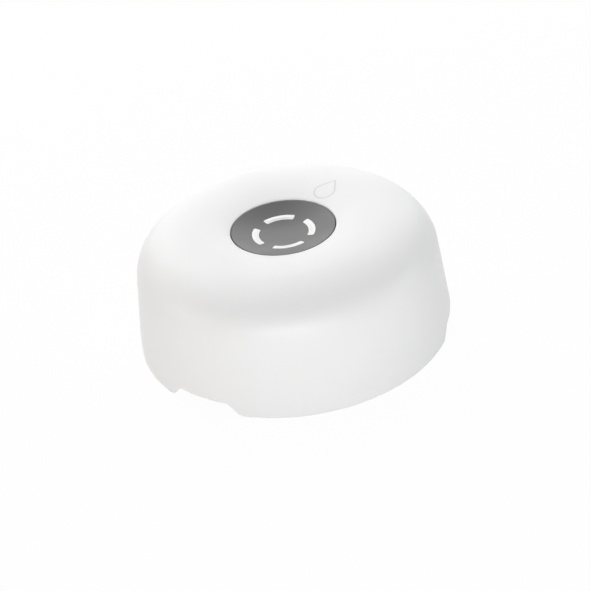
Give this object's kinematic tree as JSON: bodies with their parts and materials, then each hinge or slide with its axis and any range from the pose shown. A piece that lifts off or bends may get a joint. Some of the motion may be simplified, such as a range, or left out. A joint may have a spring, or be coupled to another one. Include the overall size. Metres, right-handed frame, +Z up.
{
  "type": "water leak sensor",
  "caption": "Round puck-shaped water leak sensor: dished shell with a push button, gaps in its skirt and probes on a twist-off base.",
  "frame": {"origin": "centre of the circle that the feet stand on, at floor level", "axes": "+Z up along the round shell's axis, +Y towards the water-drop mark and one foot, +X along the cells"},
  "size_m": [0.0716, 0.0716, 0.0282],
  "materials": {
    "white_shell": "satin moulded ABS",
    "dark_button": "satin moulded ABS",
    "milky_light_guide": "milky polycarbonate",
    "clear_silicone": "moulded translucent silicone",
    "green_board": "solder resist on glass-epoxy",
    "black_moulding": "moulded black nylon",
    "led_package": "white package with phosphor window",
    "tinned_sheet": "tinned sheet",
    "capacitor_can": "drawn can",
    "grey_cradle": "moulded ABS",
    "cell_jacket": "plain printed jacket",
    "nickel_contact": "nickel-plated spring sheet",
    "zinc_screw": "zinc-plated",
    "black_rubber": "moulded rubber",
    "gold_probe": "gold-plated brass"
  },
  "bodies": {
    "housing": {"upper_housing": "white_shell", "button_boot": "clear_silicone", "circuit_board": "green_board", "tact_switch": "black_moulding", "status_leds": "led_package", "buzzer": "black_moulding", "radio_shield": "tinned_sheet", "supply_capacitor": "capacitor_can", "antenna": "tinned_sheet", "battery_cradle": "grey_cradle", "battery_rear": "cell_jacket", "battery_front": "cell_jacket", "cell_bridge": "nickel_contact", "positive_contact": "nickel_contact", "negative_contact": "nickel_contact", "board_screws": "zinc_screw", "probe_pins": "gold_probe"},
    "button": {"button_cap": "dark_button", "light_guide": "milky_light_guide", "switch_plunger": "black_moulding"},
    "base": {"base_cover": "white_shell", "base_gasket": "black_rubber", "water_probes": "gold_probe"}
  },
  "joints": [
    {"name": "button_press", "type": "slide", "parent": "housing", "child": "button", "axis": [0, 0, -1], "range_m": [0, 0.0005], "stiffness_N_per_m": 1500, "deforming": ["button_boot"]},
    {"name": "base_twist", "type": "hinge", "parent": "housing", "child": "base", "pos_m": [0, 0, 0.004], "axis": [0, 0, 1], "range_deg": [-28, 0]}
  ]
}
